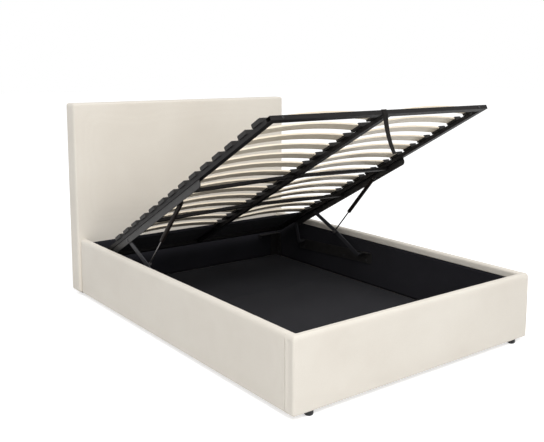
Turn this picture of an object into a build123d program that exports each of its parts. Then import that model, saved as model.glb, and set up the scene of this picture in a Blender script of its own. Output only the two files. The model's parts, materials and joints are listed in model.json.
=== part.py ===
from build123d import *
import math
import os

# Ottoman storage bed for a 1350 x 1900 mattress, drawn with its slatted platform raised.
# Millimetres. X runs across the bed, +Y towards the headboard, +Z up from the floor.
# The origin is on the floor under the middle of the whole bed.

# Overall sizes
bed_width = 1430            # over the two upholstered side rails
box_length = 1946           # foot panel's outer face to the headboard's front face
rail_top = 331              # top of the upholstered rails above the floor
ground_gap = 22             # underside of the rails above the floor
headboard_overhang = 15     # past the side rails, on each side
headboard_height = 1100
headboard_thickness = 100

# Upholstery and linings
cover_skin = 4.5            # foam and fabric over a board
cloth_gap = 0.3             # between a soft skin and what it covers
cover_turn_in = 35          # how far the cover comes down inside the box
cover_round = 5             # soft edge of a covered board
lining_thickness = 3        # black cloth on card
head_lining_rise = 10       # head end's lining over the linings of the other walls
foot_return = 55            # how far the foot panel wraps round each corner

# Boards and timbers
side_board = 28
foot_board = 25
headboard_skin = 8          # foam and fabric on the headboard
headboard_round = 9
front_board = 9
back_cloth = 2
stile_width = 90
timber_rail_height = 60
timber_rail_count = 3

# Box floor
floor_board = 3
floor_joint = 1
floor_panel_count = 3
ledge_width = 20
ledge_height = 10
cross_rail_width = 40
cross_rail_wall = 1.5

# Glides under the bed
glide_radius = 19
glide_round = 9
glide_stud_radius = 4
glide_stud_length = 24
glide_from_side = 90        # foot glides' axis inside the bed's side
glide_inset = 20            # foot glides' axis behind the foot panel's face

# Brackets inside the box and their bolts
bracket_leg = 50
bracket_wall = 3
foot_bracket_height = 120
foot_bracket_bottom = 60
head_bracket_height = 155
head_flange_length = 150
head_flange_depth = 36
head_lip = 25               # turned down at the flange's inner end
bolt_radius = 3
bolt_head_radius = 6
bolt_head_height = 2.5
bolt_length = 18
long_bolt_length = 38
bolt_fit = 0.05
bolt_edge = 15              # from a bracket's end to its bolt

# Rest brackets that carry the foot end of the closed platform
rest_width = 40
rest_wall = 4
rest_height = 120           # against the foot panel
rest_front_height = 50      # at the bracket's free end
rest_from_middle = 450
rest_pad = 3
rest_gap = 0.3

# Slatted platform
platform_side_gap = 65      # bed's side to the platform's side
platform_recess = 51        # top of the shut platform's tubes below the rails' top
closed_foot_gap = 84        # foot panel's outer face to the shut platform
closed_head_gap = 10        # shut platform to the headboard
tube_width = 30
tube_height = 20
tube_wall = 1.5
cross_bar_width = 20
cross_bar_height = 15
cross_bar_rise = 17         # the bars climb from under the side tubes to the middle tube
cross_bar_shares = (0.368, 0.595)   # of the platform's length, from its head end
frame_angle_leg = 60
frame_angle_height = 16
frame_bolt_length = 36
end_board_thickness = 12
end_board_inset = 6
end_board_gap = 12          # end board to the last caps

# Slats and their caps
slat_count = 14
slat_width = 53
slat_thickness = 8
slat_bow = 25
slat_fit = 0.3
first_slat_from_foot = 90
last_slat_from_head = 321
cap_length = 62             # along the platform's tube
cap_height = 21
cap_round = 6
cap_base = 3
cap_wall = 6
cap_reach = 38              # over the side tube, towards the middle of the bed
cap_overhang = 6            # past the side tube's outer face
centre_cap_half = 40
centre_wall_half = 6        # wall between the two slats that meet in a middle cap

# Pull strap on the foot tube
strap_width = 30
strap_thickness = 2
strap_offset = 41           # strap's middle, left of the bed's middle
strap_fall = 165
strap_stand_out = 60
strap_shares = (0.25, 0.5, 0.75, 1)

# Raised pose
lift_angle = 28.5           # degrees
raised_head_gap = 84.4      # headboard to the platform's head end
raised_head_drop = 90.6     # platform's head end below the rails' top

# Lift linkage on each side; depths are below the top of the platform's tubes
front_pivot_from_head = 406
rear_pivot_from_head = 188.9
arm_pivot_depth = 38
strut_pivot_from_head = 1000
strut_pivot_depth = 43
front_base_from_head = 842  # from the headboard
front_base_drop = 120       # below the rails' top
rear_base_from_head = 300.5
rear_base_drop = 145.2

# Plates of the linkage
upper_plate_wall = 4
upper_plate_inset = 4       # inside the side tube's outer face
upper_plate_height = 34     # under the side tube
upper_plate_foot_end = 1240 # from the platform's head end
upper_plate_head_end = 168
upper_plate_round = 20      # its two lower corners
lower_plate_wall = 3
lower_plate_height = 65
lower_plate_above = 12      # its upper edge over the pivots
lower_plate_foot_end = 80   # past the front pivot
lower_plate_head_end = 44   # past the rear pivot
lower_plate_round = 12
stop_tab_length = 50
stop_tab_depth = 20
plate_bolt_count = 4
plate_bolt_margin = 45      # from the plate's end to its first bolt

# Arms, pins and studs
arm_wall = 5
arm_width = 24
arm_gap = 3                 # upper plate to arm
arm_bow = 8                 # the stud's rise over the line between the arm's pivots
pin_radius = 5
pin_fit = 0.05
pin_head_radius = 8
pin_head = 2.2
bush_radius = 9
side_play = 0.3             # heads and collars off the faces that turn against them
stud_radius = 4
stud_collar_radius = 5.5
stud_head_radius = 6
stud_share = 0.5            # the strut's stud along the front arm, from its base pivot

# Gas struts
strut_gap = 3               # front arm to the strut's cylinder
strut_radius = 11
strut_wall = 2
strut_body = 285
strut_neck = 14             # from the eye's middle to the cylinder
strut_neck_radius = 4.5
strut_end_wall = 12
rod_radius = 4
rod_fit = 0.05
rod_hidden = 70             # rod inside the cylinder when the platform is raised
piston_length = 15
piston_fit = 0.05
eye_radius = 9
eye_width = 10

cut_overrun = 5

# Planes and edges that the pieces share
overall_length = box_length + headboard_thickness
foot_face = -overall_length / 2
head_face = foot_face + box_length
back_face = head_face + headboard_thickness
rail_outer = bed_width / 2
board_outer = rail_outer - cover_skin - cloth_gap
board_inner = board_outer - side_board
lining_outer = board_inner - cloth_gap
lining_inner = lining_outer - lining_thickness
cover_inner = lining_outer - cover_skin
board_bottom = ground_gap + cover_skin + cloth_gap
board_top = rail_top - cover_skin - cloth_gap
turn_in_bottom = rail_top - cover_turn_in
foot_board_front = foot_face + cover_skin + cloth_gap
foot_board_back = foot_board_front + foot_board
foot_lining_front = foot_board_back + cloth_gap
foot_lining_back = foot_lining_front + lining_thickness
foot_cover_back = foot_lining_front + cover_skin
return_end = foot_face + foot_return
side_front = return_end + cloth_gap
side_back = head_face - cloth_gap
head_lining_front = side_back - lining_thickness
floor_bottom = ground_gap + ledge_height
floor_top = floor_bottom + floor_board
lining_bottom = floor_top + cloth_gap
lining_top = turn_in_bottom - cloth_gap
wall_x = lining_inner - cloth_gap
wall_foot = foot_lining_back + cloth_gap
wall_head = head_lining_front - cloth_gap

headboard_width = bed_width + 2 * headboard_overhang
head_inner_x = headboard_width / 2 - headboard_skin - cloth_gap
head_inner_top = headboard_height - headboard_skin - cloth_gap
head_inner_bottom = ground_gap + headboard_skin + cloth_gap
front_board_front = head_face + headboard_skin + cloth_gap
timber_front = front_board_front + front_board
timber_back = back_face - back_cloth - cloth_gap
stile_inner = head_inner_x - stile_width

platform_length = box_length - closed_foot_gap - closed_head_gap
platform_outer = rail_outer - platform_side_gap
platform_foot = -platform_length
closed_platform_top = rail_top - platform_recess
raised_head = head_face - raised_head_gap
raised_head_height = rail_top - raised_head_drop
platform_place = Pos(0, raised_head, raised_head_height) * Rot(-lift_angle, 0, 0)

end_board_length = last_slat_from_head - cap_length / 2 - end_board_gap - end_board_inset

upper_plate_outer = platform_outer - upper_plate_inset
upper_plate_inner = upper_plate_outer - upper_plate_wall
upper_plate_bottom = tube_height + upper_plate_height
arm_outer = upper_plate_inner - arm_gap
arm_inner = arm_outer - arm_wall
lower_plate_inner = wall_x - lower_plate_wall
strut_bore = strut_radius - strut_wall
strut_middle = arm_inner - strut_gap - strut_radius
eye_inner = strut_middle - eye_width / 2
eye_outer = strut_middle + eye_width / 2


# Helpers

def block(x_low, x_high, y_low, y_high, z_low, z_high):
    """A box between two values on each axis."""
    middle = Pos((x_low + x_high) / 2, (y_low + y_high) / 2, (z_low + z_high) / 2)
    return middle * Box(x_high - x_low, y_high - y_low, z_high - z_low)


def round_bar(radius, x_low, x_high, y, z):
    """A round bar along X."""
    return Pos((x_low + x_high) / 2, y, z) * Rot(0, 90, 0) * Cylinder(radius, x_high - x_low)


def upright(radius, x, y, z_low, z_high):
    """A round bar along Z."""
    return Pos(x, y, (z_low + z_high) / 2) * Cylinder(radius, z_high - z_low)


def group(pieces):
    """Separate solids that share a name."""
    return Compound(children=[solid for piece in pieces for solid in piece.solids()])


def other_side(piece):
    """The same piece on the bed's left."""
    return mirror(piece, about=Plane.YZ)


def both_sides(pieces):
    """The pieces of the right side with their twins on the left."""
    return group(pieces + [other_side(piece) for piece in pieces])


def spread(first, last, count):
    """Evenly spaced places from first to last."""
    return [first + (last - first) * index / (count - 1) for index in range(count)]


def raised(from_head, depth):
    """Y and Z of a point of the raised platform, from its head end and below its top."""
    angle = math.radians(lift_angle)
    y = raised_head - from_head * math.cos(angle) - depth * math.sin(angle)
    z = raised_head_height + from_head * math.sin(angle) - depth * math.cos(angle)
    return y, z


def tube_x(x_low, x_high, y_low, y_high, z_low, z_high, wall):
    """A rectangular tube along X, open at both ends."""
    bore = block(x_low - cut_overrun, x_high + cut_overrun, y_low + wall, y_high - wall,
                 z_low + wall, z_high - wall)
    return block(x_low, x_high, y_low, y_high, z_low, z_high) - bore


def tube_y(x_low, x_high, y_low, y_high, z_low, z_high, wall):
    """A rectangular tube along Y, open at both ends."""
    bore = block(x_low + wall, x_high - wall, y_low - cut_overrun, y_high + cut_overrun,
                 z_low + wall, z_high - wall)
    return block(x_low, x_high, y_low, y_high, z_low, z_high) - bore


def facing(x, y, z, direction):
    """A place whose +Z points along the given direction."""
    return Plane(origin=(x, y, z), z_dir=direction).location


def bolt(length):
    """A round-headed bolt: its seat at the origin, head towards +Z, shank towards -Z."""
    head = upright(bolt_head_radius, 0, 0, 0, bolt_head_height)
    head = fillet(head.faces().sort_by(Axis.Z)[-1].edges(), bolt_head_height / 2)
    return head + upright(bolt_radius, 0, 0, -length, 0)


def bolt_hole(length):
    """The hole that such a bolt needs."""
    return upright(bolt_radius + bolt_fit, 0, 0, -length, 0)


def bolts(places, length):
    return both_sides([place * bolt(length) for place in places])


def bolt_holes(places, length):
    return both_sides([place * bolt_hole(length) for place in places])


def link(start, end, width, x_low, x_high):
    """A flat bar with round ends between two (y, z) points."""
    direction = (0, end[0] - start[0], end[1] - start[1])
    middle = (x_low, (start[0] + end[0]) / 2, (start[1] + end[1]) / 2)
    outline = Plane(origin=middle, x_dir=direction, z_dir=(1, 0, 0)) * SlotCenterToCenter(
        math.dist(start, end), width)
    return extrude(outline, x_high - x_low)


# Places of the bolts and studs, on the right side

def foot_bracket_bolt_places():
    """Heads inside the box, on the angle between side rail and foot panel."""
    leg_x = wall_x - bracket_leg + bolt_edge
    leg_y = wall_foot + foot_return + bracket_leg - bolt_edge
    low = foot_bracket_bottom + bolt_edge
    high = foot_bracket_bottom + foot_bracket_height - bolt_edge
    places = []
    for z in (low, high):
        places.append(facing(wall_x - bracket_wall, leg_y, z, (-1, 0, 0)))
        places.append(facing(leg_x, wall_foot + bracket_wall, z, (0, 1, 0)))
    return places


def head_bracket_heights():
    return floor_top + bracket_leg / 2, floor_top + head_bracket_height - bracket_leg


def head_side_bolt_places():
    """Heads inside the box, on the head angle's leg along the side rail."""
    y = wall_head - bracket_leg + bolt_edge
    return [facing(wall_x - bracket_wall, y, z, (-1, 0, 0)) for z in head_bracket_heights()]


def headboard_bolt_places():
    """Heads inside the box, on the head angle's other leg and on its lip."""
    y = wall_head - bracket_wall
    x = wall_x - bracket_leg + bolt_edge
    places = [facing(x, y, z, (0, -1, 0)) for z in head_bracket_heights()]
    lip_x = wall_x - head_flange_length + head_lip / 2
    lip_z = floor_top + head_bracket_height - bracket_wall - head_lip / 2
    return places + [facing(lip_x, y, lip_z, (0, -1, 0))]


rest_pad_top = closed_platform_top - tube_height - rest_gap
rest_shelf_top = rest_pad_top - rest_pad
rest_shelf_end = foot_face + closed_foot_gap + tube_width


def rest_bolt_places():
    heights = (rest_shelf_top - rest_height + bolt_edge, rest_shelf_top - rest_wall - bolt_edge)
    return [facing(rest_from_middle, wall_foot + rest_wall, z, (0, 1, 0)) for z in heights]


front_base = (head_face - front_base_from_head, rail_top - front_base_drop)
rear_base = (head_face - rear_base_from_head, rail_top - rear_base_drop)
lower_plate_foot = front_base[0] - lower_plate_foot_end
lower_plate_head = rear_base[0] + lower_plate_head_end
lower_plate_fall_share = (front_base[1] - rear_base[1]) / (rear_base[0] - front_base[0])


def lower_plate_edge(y):
    """Height of the lower plate's upper edge, which falls towards the headboard."""
    return front_base[1] + lower_plate_above - (y - front_base[0]) * lower_plate_fall_share


def lower_plate_bolt_places():
    """Heads inside the box, along the lower plate's lower edge."""
    places = spread(lower_plate_foot + plate_bolt_margin, lower_plate_head - plate_bolt_margin,
                    plate_bolt_count)
    return [facing(lower_plate_inner, y, lower_plate_edge(y) - lower_plate_height + bolt_edge,
                   (-1, 0, 0))
            for y in places]


def short_bolt_places():
    return foot_bracket_bolt_places() + head_side_bolt_places() + rest_bolt_places()


def box_bolt_holes():
    """Every bolt hole in the walls of the box."""
    return [bolt_holes(short_bolt_places(), bolt_length),
            bolt_holes(headboard_bolt_places(), long_bolt_length),
            bolt_holes(lower_plate_bolt_places(), bolt_length)]


def bored(piece):
    """The piece with the bolt holes of the box."""
    for holes in box_bolt_holes():
        piece -= holes
    return piece


corner_glide_places = [(side * x, y) for side in (-1, 1)
                       for x, y in ((rail_outer - glide_from_side, foot_face + glide_inset),
                                    (head_inner_x - stile_width / 2, (timber_front + timber_back) / 2))]
cross_rail_places = [foot_face + box_length * (index + 1) / (floor_panel_count + 1)
                     for index in range(floor_panel_count)]
centre_glide_places = [(0, y) for y in cross_rail_places]


def stud_holes(places, length):
    """Holes for the glides' fixing studs."""
    return Compound(children=[upright(glide_stud_radius + bolt_fit, x, y, ground_gap - cut_overrun,
                                      ground_gap + length) for x, y in places])


# Headboard

def headboard_frame():
    """Two stiles and the rails between them."""
    stiles = [bored(block(low, low + stile_width, timber_front, timber_back,
                          head_inner_bottom, head_inner_top))
              for low in (-head_inner_x, stile_inner)]
    stiles = [stile - stud_holes(corner_glide_places, glide_stud_length) for stile in stiles]
    bottoms = spread(head_inner_bottom, head_inner_top - timber_rail_height, timber_rail_count)
    rails = [block(-stile_inner, stile_inner, timber_front, timber_back,
                   low, low + timber_rail_height) for low in bottoms]
    return group(stiles + rails)


def headboard_front_board():
    return bored(block(-head_inner_x, head_inner_x, front_board_front, timber_front,
                       head_inner_bottom, head_inner_top))


def headboard_cover():
    """Padding and fabric over the front, sides, top and bottom, open at the back."""
    half = headboard_width / 2
    outer = block(-half, half, head_face, back_face, ground_gap, headboard_height)
    outer = fillet(outer.faces().sort_by(Axis.Y)[0].edges(), headboard_round)
    inside = block(-head_inner_x - cloth_gap, head_inner_x + cloth_gap,
                   front_board_front - cloth_gap, back_face + cut_overrun,
                   head_inner_bottom - cloth_gap, head_inner_top + cloth_gap)
    return bored(outer - inside - stud_holes(corner_glide_places, glide_stud_length))


def headboard_back_lining():
    return block(-head_inner_x, head_inner_x, back_face - back_cloth, back_face,
                 head_inner_bottom, head_inner_top)


# Side rails and foot panel

def side_rail_board():
    return bored(block(board_inner, board_outer, side_front, side_back, board_bottom, board_top))


def side_rail_cover():
    """A wrap over the outer face and top edge, turned in at the top and underneath."""
    outer = block(cover_inner, rail_outer, side_front, side_back, ground_gap, rail_top)
    top = outer.faces().sort_by(Axis.Z)[-1]
    outer = fillet(top.edges().filter_by(Axis.Y), cover_round)
    hollow = block(lining_outer, rail_outer - cover_skin,
                   side_front - cut_overrun, side_back + cut_overrun,
                   ground_gap + cover_skin, rail_top - cover_skin)
    open_side = block(cover_inner - cut_overrun, board_inner + cloth_gap,
                      side_front - cut_overrun, side_back + cut_overrun,
                      ground_gap - cut_overrun, turn_in_bottom)
    return outer - hollow - open_side


def foot_panel_board():
    board = block(-board_outer, board_outer, foot_board_front, foot_board_back,
                  board_bottom, board_top)
    return bored(board - stud_holes(corner_glide_places, glide_stud_length))


def foot_corner_blocks():
    """Timber that packs out the foot panel's wrapped corners."""
    corner = block(board_inner, board_outer, foot_board_back, return_end - cloth_gap,
                   board_bottom, board_top)
    return both_sides([corner])


def foot_panel_cover():
    """A wrap over the foot panel and round its corners, turned in at the top."""
    body = block(-rail_outer, rail_outer, foot_face, return_end, ground_gap, rail_top)
    body -= block(-cover_inner, cover_inner, foot_cover_back, return_end + cut_overrun,
                  ground_gap - cut_overrun, rail_top + cut_overrun)
    corners = body.edges().filter_by(Axis.Z).group_by(Axis.Y)[0]
    body = fillet(corners, cover_round)
    top = body.faces().sort_by(Axis.Z)[-1]
    ends = top.edges().group_by(Axis.Y)[-1]
    body = fillet([edge for edge in top.edges() if edge not in ends], cover_round)
    front_hollow = block(-board_outer - cloth_gap, board_outer + cloth_gap,
                         foot_board_front - cloth_gap, foot_lining_front,
                         ground_gap + cover_skin, rail_top - cover_skin)
    side_hollow = block(lining_outer, board_outer + cloth_gap,
                        foot_board_front, return_end + cut_overrun,
                        ground_gap + cover_skin, rail_top - cover_skin)
    open_back = block(-board_inner - cloth_gap, board_inner + cloth_gap,
                      foot_board_back - cloth_gap, return_end + cut_overrun,
                      ground_gap - cut_overrun, turn_in_bottom)
    body = body - front_hollow - side_hollow - other_side(side_hollow) - open_back
    return body - stud_holes(corner_glide_places, glide_stud_length)


# Linings

def lining_side():
    return bored(block(lining_inner, lining_outer, wall_foot, side_back, lining_bottom, lining_top))


def lining_foot():
    half = lining_outer - cloth_gap
    return bored(block(-half, half, foot_lining_front, foot_lining_back, lining_bottom, lining_top))


def lining_head():
    half = cover_inner - cloth_gap
    top = lining_top + head_lining_rise
    return bored(block(-half, half, head_lining_front, side_back, lining_bottom, top))


# Floor of the box

def floor_panels():
    """The floor boards, from the foot end to the head end."""
    length = (wall_head - wall_foot - floor_joint * (floor_panel_count - 1)) / floor_panel_count
    lows = [wall_foot + index * (length + floor_joint) for index in range(floor_panel_count)]
    return [block(-wall_x, wall_x, low, low + length, floor_bottom, floor_top) for low in lows]


def floor_ledges():
    """Battens round the inside that carry the edges of the floor."""
    side = block(board_inner - ledge_width, board_inner, foot_board_back + ledge_width, side_back,
                 ground_gap, floor_bottom)
    foot = block(-board_inner, board_inner, foot_board_back, foot_board_back + ledge_width,
                 ground_gap, floor_bottom)
    head_end = board_inner - ledge_width
    head = block(-head_end, head_end, side_back - ledge_width, side_back, ground_gap, floor_bottom)
    return group([side, other_side(side), foot, head])


def floor_cross_rails():
    """Flat steel tubes under the floor, from batten to batten."""
    half = board_inner - ledge_width
    rails = [tube_x(-half, half, y - cross_rail_width / 2, y + cross_rail_width / 2,
                    ground_gap, floor_bottom, cross_rail_wall)
             for y in cross_rail_places]
    return group([rail - stud_holes(centre_glide_places, cross_rail_wall) for rail in rails])


# Glides

def glide(x, y, top, stud_top):
    """A round plastic foot, rounded underneath, with a fixing stud."""
    base = upright(glide_radius, x, y, 0, top)
    base = fillet(base.faces().sort_by(Axis.Z)[0].edges(), glide_round)
    return base + upright(glide_stud_radius, x, y, top, stud_top)


def corner_glides():
    return group([glide(x, y, ground_gap - cloth_gap, ground_gap + glide_stud_length)
                  for x, y in corner_glide_places])


def centre_glides():
    return group([glide(x, y, ground_gap, ground_gap + cross_rail_wall)
                  for x, y in centre_glide_places])


# Brackets inside the box

def foot_corner_brackets():
    """Angles that tie the side rails to the foot panel."""
    top = foot_bracket_bottom + foot_bracket_height
    leg_x = block(wall_x - bracket_leg, wall_x, wall_foot, wall_foot + bracket_wall,
                  foot_bracket_bottom, top)
    leg_y = block(wall_x - bracket_wall, wall_x, wall_foot, wall_foot + foot_return + bracket_leg,
                  foot_bracket_bottom, top)
    return both_sides([bored(leg_x + leg_y)])


def head_corner_brackets():
    """Angles that tie the side rails to the headboard, each with a flange along its top."""
    top = floor_top + head_bracket_height
    flange_end = wall_x - head_flange_length
    leg_x = block(wall_x - bracket_leg, wall_x, wall_head - bracket_wall, wall_head, floor_top, top)
    leg_y = block(wall_x - bracket_wall, wall_x, wall_head - bracket_leg, wall_head, floor_top, top)
    flange = block(flange_end, wall_x, wall_head - head_flange_depth, wall_head,
                   top - bracket_wall, top)
    lip = block(flange_end, flange_end + head_lip, wall_head - bracket_wall, wall_head,
                top - bracket_wall - head_lip, top)
    return both_sides([bored(leg_x + leg_y + flange + lip)])


def bracket_bolts():
    return bolts(short_bolt_places(), bolt_length)


def headboard_bolts():
    return bolts(headboard_bolt_places(), long_bolt_length)


def rest_brackets():
    """Steel shelves with side gussets on the foot panel, for the closed platform."""
    low_x = rest_from_middle - rest_width / 2
    high_x = rest_from_middle + rest_width / 2
    outline = Polyline((low_x, wall_foot, rest_shelf_top), (low_x, rest_shelf_end, rest_shelf_top),
                       (low_x, rest_shelf_end, rest_shelf_top - rest_front_height),
                       (low_x, wall_foot, rest_shelf_top - rest_height), close=True)
    bracket = extrude(Face(Wire(outline.edges())), rest_width, dir=(1, 0, 0))
    bracket -= block(low_x + rest_wall, high_x - rest_wall, wall_foot + rest_wall,
                     rest_shelf_end + cut_overrun, rest_shelf_top - rest_height - cut_overrun,
                     rest_shelf_top - rest_wall)
    return both_sides([bored(bracket)])


def rest_pads():
    low_x = rest_from_middle - rest_width / 2
    high_x = rest_from_middle + rest_width / 2
    return both_sides([block(low_x, high_x, rest_shelf_end - tube_width, rest_shelf_end,
                             rest_shelf_top, rest_pad_top)])


# Lower plates of the linkage

def lower_plate():
    """A steel plate on the side rail with a small tab folded in near its foot end."""
    outline = Polyline((wall_x, lower_plate_foot, lower_plate_edge(lower_plate_foot)),
                       (wall_x, lower_plate_head, lower_plate_edge(lower_plate_head)),
                       (wall_x, lower_plate_head,
                        lower_plate_edge(lower_plate_head) - lower_plate_height),
                       (wall_x, lower_plate_foot,
                        lower_plate_edge(lower_plate_foot) - lower_plate_height),
                       close=True)
    plate = extrude(Face(Wire(outline.edges())), lower_plate_wall, dir=(-1, 0, 0))
    plate = fillet(plate.edges().filter_by(Axis.X), lower_plate_round)
    tab_foot = lower_plate_foot + lower_plate_round
    tab_top = lower_plate_edge(tab_foot + stop_tab_length)
    tab = block(lower_plate_inner - stop_tab_depth, wall_x, tab_foot, tab_foot + stop_tab_length,
                tab_top - lower_plate_wall, tab_top)
    plate = bored(plate + tab)
    for y, z in (front_base, rear_base):
        plate -= round_bar(pin_radius, lower_plate_inner, wall_x, y, z)
    return plate


def lower_plate_bolts():
    return bolts(lower_plate_bolt_places(), bolt_length)


def lower_pivot_pins():
    """Shouldered pins on which the arms turn, fixed through the lower plates."""
    pins = []
    for y, z in (front_base, rear_base):
        head_outer = arm_inner - side_play
        head = round_bar(pin_head_radius, head_outer - pin_head, head_outer, y, z)
        shank = round_bar(pin_radius, head_outer, wall_x, y, z)
        bush = round_bar(bush_radius, arm_outer + side_play, lower_plate_inner, y, z)
        pins.append(head + shank + bush)
    return both_sides(pins)


# Platform frame, in the platform's own frame: origin at the middle of its head end's top edge

def frame_bolt_places():
    """Bolts through the foot and head tubes, on the right side."""
    x = platform_outer - tube_width - frame_angle_leg / 2
    return [facing(x, platform_foot, -tube_height / 2, (0, -1, 0)),
            facing(x, 0, -tube_height / 2, (0, 1, 0))]


def frame_side_bolt_places():
    """Bolts through the corner angles into the right side tube."""
    x = platform_outer - tube_width - bracket_wall
    inset = tube_width + frame_angle_leg - bolt_edge
    return [facing(x, y, -tube_height / 2, (-1, 0, 0)) for y in (platform_foot + inset, -inset)]


def frame_bored(piece):
    """The piece with the bolt holes of the platform's frame."""
    piece -= bolt_holes(frame_bolt_places(), frame_bolt_length)
    return piece - bolt_holes(frame_side_bolt_places(), bolt_length)


def platform_side_rail():
    return frame_bored(tube_y(platform_outer - tube_width, platform_outer,
                              platform_foot + tube_width, -tube_width, -tube_height, 0, tube_wall))


def platform_centre_rail():
    return tube_y(-tube_width / 2, tube_width / 2, platform_foot + tube_width, -tube_width,
                  -tube_height, 0, tube_wall)


def platform_foot_rail():
    return frame_bored(tube_x(-platform_outer, platform_outer, platform_foot,
                              platform_foot + tube_width, -tube_height, 0, tube_wall))


def platform_head_rail():
    return frame_bored(tube_x(-platform_outer, platform_outer, -tube_width, 0,
                              -tube_height, 0, tube_wall))


def cross_bar_outline(inset):
    """Side view of a half bar, which climbs from the upper plate to the middle tube."""
    outer = upper_plate_inner
    bend = platform_outer - tube_width
    inner = tube_width / 2
    low = -tube_height - cross_bar_height + inset
    high = -tube_height - inset
    return Polyline((outer, 0, low), (bend, 0, low), (inner, 0, low + cross_bar_rise),
                    (inner, 0, high + cross_bar_rise), (bend, 0, high), (outer, 0, high), close=True)


def cross_bars():
    """Two pairs of half bars that stiffen the frame."""
    outside = Face(Wire(cross_bar_outline(0).edges()))
    inside = Face(Wire(cross_bar_outline(tube_wall).edges()))
    bar = extrude(outside, cross_bar_width / 2, dir=(0, 1, 0), both=True)
    bar -= extrude(inside, cross_bar_width / 2 - tube_wall, dir=(0, 1, 0), both=True)
    return both_sides([Pos(0, platform_foot * share, 0) * bar for share in cross_bar_shares])


def platform_end_board():
    """A covered board that fills the frame between the last slats and the head tube."""
    half = platform_outer - cap_reach / 2
    return block(-half, half, -end_board_inset - end_board_length, -end_board_inset,
                 0, end_board_thickness)


def frame_angles():
    """Small angles inside the four corners of the frame."""
    side = platform_outer - tube_width
    angles = []
    low = (-tube_height - frame_angle_height) / 2
    high = (-tube_height + frame_angle_height) / 2
    for corner, inward in ((platform_foot + tube_width, 1), (-tube_width, -1)):
        near, far = sorted((corner, corner + inward * frame_angle_leg))
        wall_near, wall_far = sorted((corner, corner + inward * bracket_wall))
        leg_x = block(side - frame_angle_leg, side, wall_near, wall_far, low, high)
        leg_y = block(side - bracket_wall, side, near, far, low, high)
        angles.append(frame_bored(leg_x + leg_y))
    return both_sides(angles)


def frame_bolts():
    return group([bolts(frame_bolt_places(), frame_bolt_length),
                  bolts(frame_side_bolt_places(), bolt_length)])


# Slats and caps, in the platform's frame, right row

slat_inner = centre_wall_half + slat_fit
slat_outer = platform_outer + cap_overhang - cap_wall - slat_fit
slat_places = spread(platform_foot + first_slat_from_foot, -last_slat_from_head, slat_count)


def bowed_bar(width, room):
    """A bowed strip along X whose ends rest just over the caps' bases, grown by some room."""
    middle = (slat_inner + slat_outer) / 2
    low = cap_base + slat_fit - room
    high = cap_base + slat_fit + slat_thickness + room
    lower = ThreePointArc((slat_inner, 0, low), (middle, 0, low + slat_bow), (slat_outer, 0, low))
    upper = ThreePointArc((slat_outer, 0, high), (middle, 0, high + slat_bow), (slat_inner, 0, high))
    ends = [Line(lower @ 1, upper @ 0), Line(upper @ 1, lower @ 0)]
    outline = Face(Wire([lower, ends[0], upper, ends[1]]))
    return extrude(outline, width / 2 + room, dir=(0, 1, 0), both=True)


def slat_pocket():
    """The room a slat needs in a cap, a little larger than the slat and past both its ends."""
    strip = bowed_bar(slat_width, slat_fit)
    inner_end = strip.faces().sort_by(Axis.X)[0]
    outer_end = strip.faces().sort_by(Axis.X)[-1]
    strip += extrude(inner_end, slat_fit, dir=(-1, 0, 0))
    return strip + extrude(outer_end, slat_fit, dir=(1, 0, 0))


def cap_body(x_low, x_high):
    body = block(x_low, x_high, -cap_length / 2, cap_length / 2, 0, cap_height)
    return fillet(body.faces().sort_by(Axis.Z)[-1].edges(), cap_round)


def side_cap():
    body = cap_body(platform_outer - cap_reach, platform_outer + cap_overhang)
    return body - slat_pocket()


def middle_cap():
    body = cap_body(-centre_cap_half, centre_cap_half)
    return body - slat_pocket() - other_side(slat_pocket())


def row(piece):
    """One piece at each slat."""
    return group([Pos(0, y, 0) * piece for y in slat_places])


# Upper plates of the linkage, in the platform's frame

platform_pivots = (front_pivot_from_head, rear_pivot_from_head)


def upper_plate():
    """A long plate on edge, welded under the side tube."""
    plate = block(upper_plate_inner, upper_plate_outer, -upper_plate_foot_end,
                  -upper_plate_head_end, -upper_plate_bottom, -tube_height)
    plate = fillet(plate.edges().filter_by(Axis.X).group_by(Axis.Z)[0], upper_plate_round)
    for from_head in platform_pivots:
        plate -= round_bar(pin_radius, upper_plate_inner, upper_plate_outer, -from_head,
                           -arm_pivot_depth)
    return plate - round_bar(stud_radius, upper_plate_inner, upper_plate_outer,
                             -strut_pivot_from_head, -strut_pivot_depth)


def upper_pivot_pins():
    """Pins for the arms and studs for the struts, fixed through the upper plates."""
    front_y, rear_y = -front_pivot_from_head, -rear_pivot_from_head
    strut_y = -strut_pivot_from_head
    z = -arm_pivot_depth
    outer_head = upper_plate_outer + pin_head
    collar_end = arm_outer + side_play
    shank_end = arm_inner - side_play
    front = round_bar(pin_head_radius, upper_plate_outer, outer_head, front_y, z)
    front += round_bar(pin_radius, shank_end, upper_plate_outer, front_y, z)
    front += round_bar(pin_head_radius, collar_end, upper_plate_inner, front_y, z)
    front += round_bar(pin_head_radius, shank_end - pin_head, shank_end, front_y, z)
    rear = round_bar(pin_head_radius, upper_plate_outer, outer_head, rear_y, z)
    rear += round_bar(pin_radius, upper_plate_inner, upper_plate_outer, rear_y, z)
    rear += round_bar(pin_head_radius, collar_end, upper_plate_inner, rear_y, z)
    head_outer = eye_inner - side_play
    stud = round_bar(stud_head_radius, head_outer - pin_head, head_outer, strut_y, -strut_pivot_depth)
    stud += round_bar(stud_radius, head_outer, upper_plate_outer, strut_y, -strut_pivot_depth)
    stud += round_bar(stud_collar_radius, eye_outer + side_play, upper_plate_inner, strut_y,
                      -strut_pivot_depth)
    return both_sides([front, rear, stud])


# Pull strap

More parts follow.
